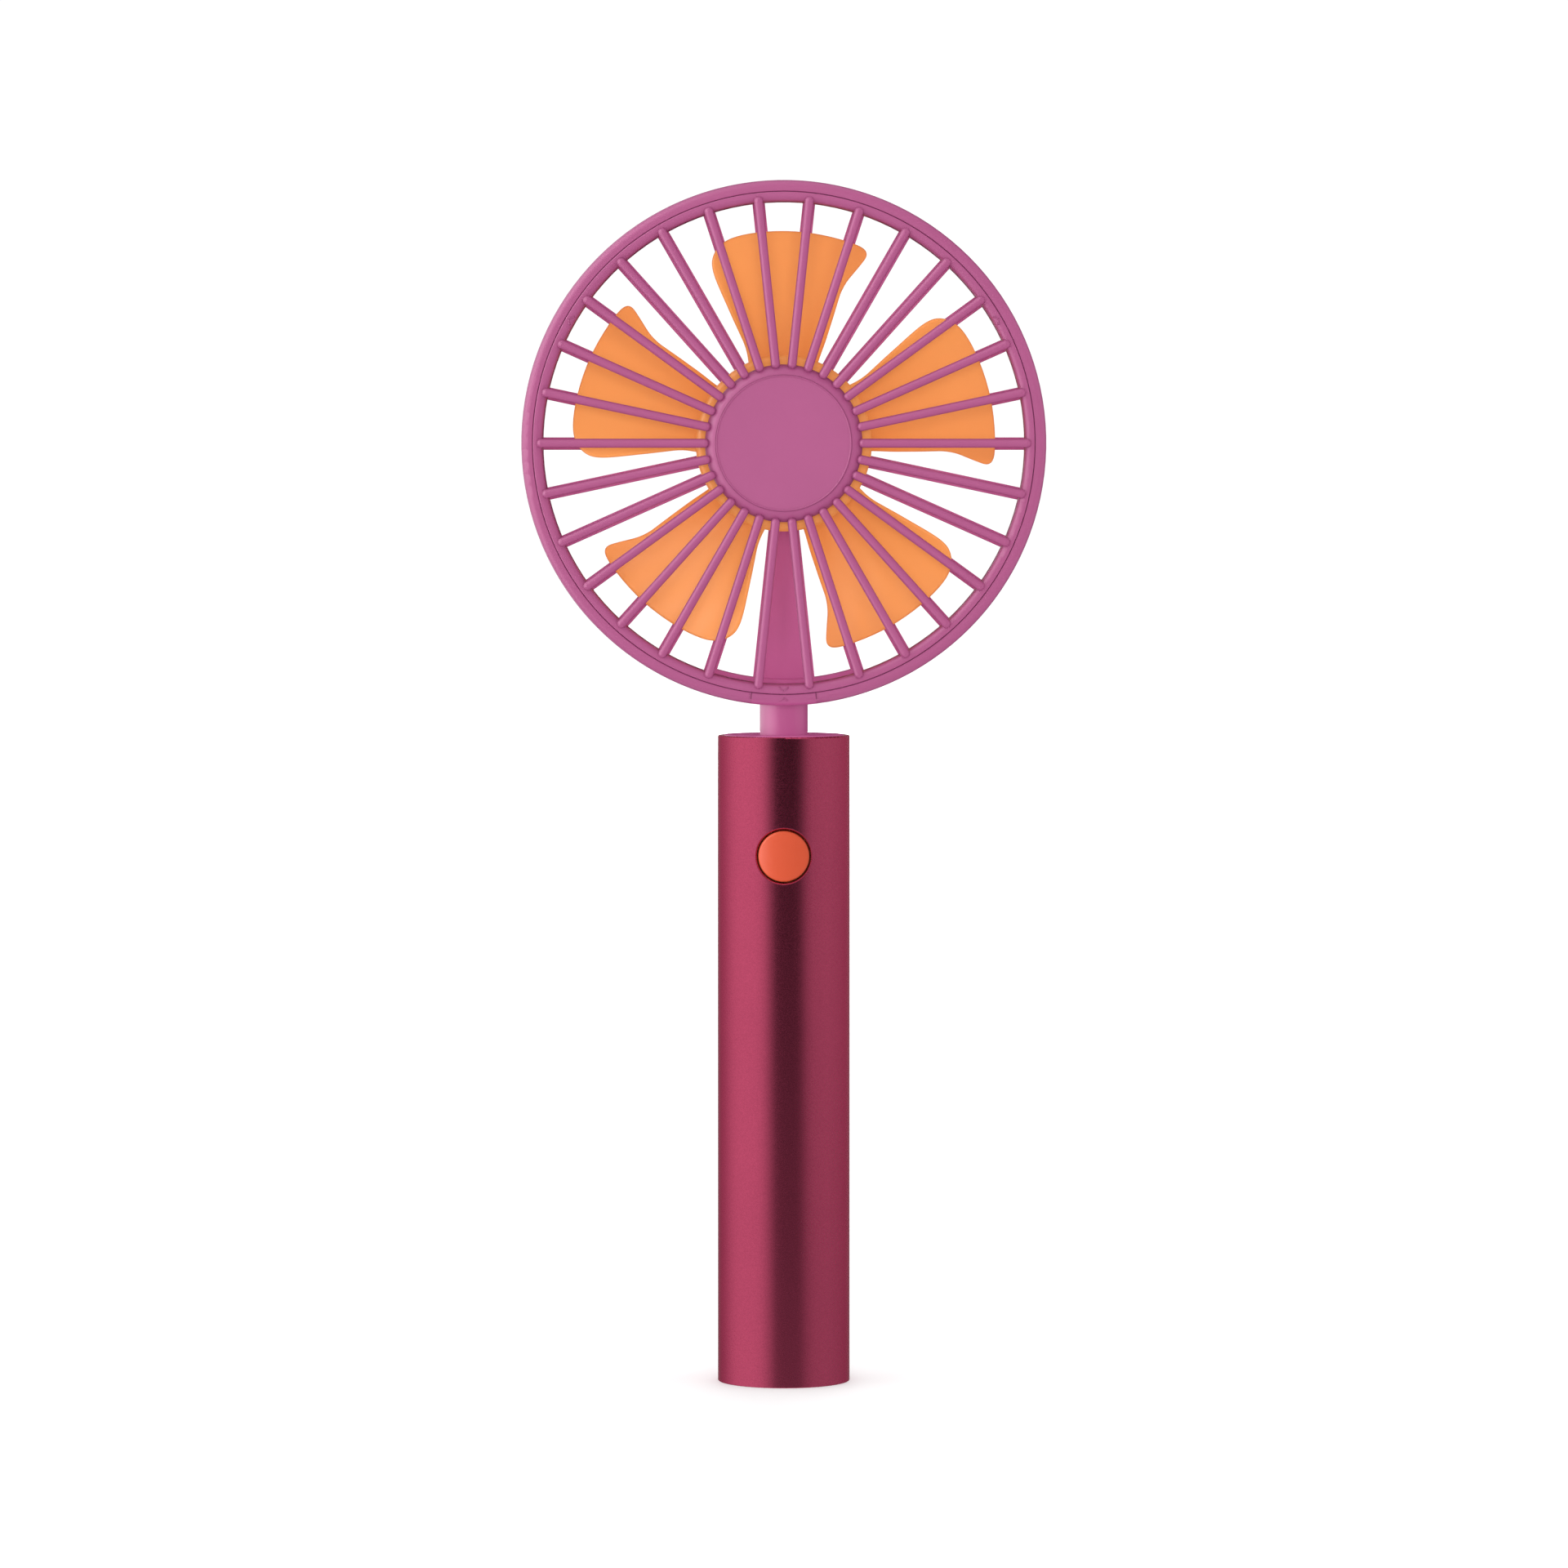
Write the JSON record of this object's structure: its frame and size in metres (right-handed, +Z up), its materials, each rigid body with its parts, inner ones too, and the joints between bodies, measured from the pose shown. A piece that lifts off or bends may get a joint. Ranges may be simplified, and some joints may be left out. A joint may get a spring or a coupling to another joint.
{
  "type": "handheld electric fan",
  "caption": "Handheld battery fan with a round ribbed guard, a bladed impeller, a short neck and a tubular handle with a push button.",
  "frame": {"origin": "middle of the flat bottom of the handle", "axes": "+Z up along the handle, the front of the fan faces -Y, +X to the right seen from the front"},
  "size_m": [0.0956, 0.0255, 0.2204],
  "materials": {
    "guard_plastic": "matte magenta pink plastic",
    "band_plastic": "matte magenta pink plastic",
    "neck_plastic": "matte magenta pink plastic",
    "black_steel": "black oxide screws",
    "grille_plastic": "matte magenta pink plastic",
    "disc_plastic": "fine grained magenta pink plastic",
    "blade_plastic": "satin orange plastic",
    "steel": "plain steel",
    "magnet": "dark sintered magnet",
    "shaft_steel": "ground steel",
    "black_plastic": "black plastic",
    "brass": "turned brass",
    "bearing_metal": "oiled bronze",
    "core_steel": "laminated core",
    "copper_wire": "enamelled copper",
    "green_board": "solder mask green",
    "lead_jacket": "black lead jacket",
    "handle_metal": "satin anodised raspberry red",
    "cap_plastic": "matte magenta pink plastic",
    "cell_wrap": "blue cell wrap",
    "nickel": "nickel strip",
    "carrier_plastic": "off-white moulded carrier",
    "button_plastic": "satin orange red plastic"
  },
  "bodies": {
    "fan_frame": {"rear_guard": "guard_plastic", "guard_drum": "guard_plastic", "rim_band": "band_plastic", "neck_stem": "neck_plastic", "spine_cover": "guard_plastic", "spine_screws": "black_steel", "bearing_tube": "brass", "bearing_rear": "bearing_metal", "bearing_front": "bearing_metal", "stator_core": "core_steel", "stator_coils": "copper_wire", "motor_board": "green_board", "motor_leads": "lead_jacket", "handle_tube": "handle_metal", "top_plug": "cap_plastic", "stem_clip": "steel", "bottom_cap": "cap_plastic", "battery_cell": "cell_wrap", "contact_negative": "nickel", "contact_positive": "nickel", "inner_carrier": "carrier_plastic", "control_board": "green_board", "control_chips": "black_plastic", "board_screws": "black_steel", "switch_body": "black_plastic", "charge_board": "green_board", "usb_shell": "steel", "usb_tongue": "black_plastic", "charge_leads": "lead_jacket"},
    "rotor": {"impeller": "blade_plastic", "rotor_yoke": "steel", "ring_magnet": "magnet", "motor_shaft": "shaft_steel", "shaft_clip": "steel", "thrust_washer": "black_plastic"},
    "grille": {"front_grille": "grille_plastic", "grille_ring": "grille_plastic", "centre_disc": "disc_plastic"},
    "button": {"button_cap": "button_plastic", "switch_plunger": "black_plastic"}
  },
  "joints": [
    {"name": "impeller_spin", "type": "hinge", "parent": "fan_frame", "child": "rotor", "pos_m": [0, 0, 0.1726], "axis": [0, 1, 0], "continuous": true},
    {"name": "grille_twist", "type": "hinge", "parent": "fan_frame", "child": "grille", "pos_m": [0, 0, 0.1726], "axis": [0, -1, 0], "range_deg": [0, 12]},
    {"name": "button_press", "type": "slide", "parent": "fan_frame", "child": "button", "axis": [0, 1, 0], "range_m": [0, 0.0005], "stiffness_N_per_m": 3000}
  ]
}
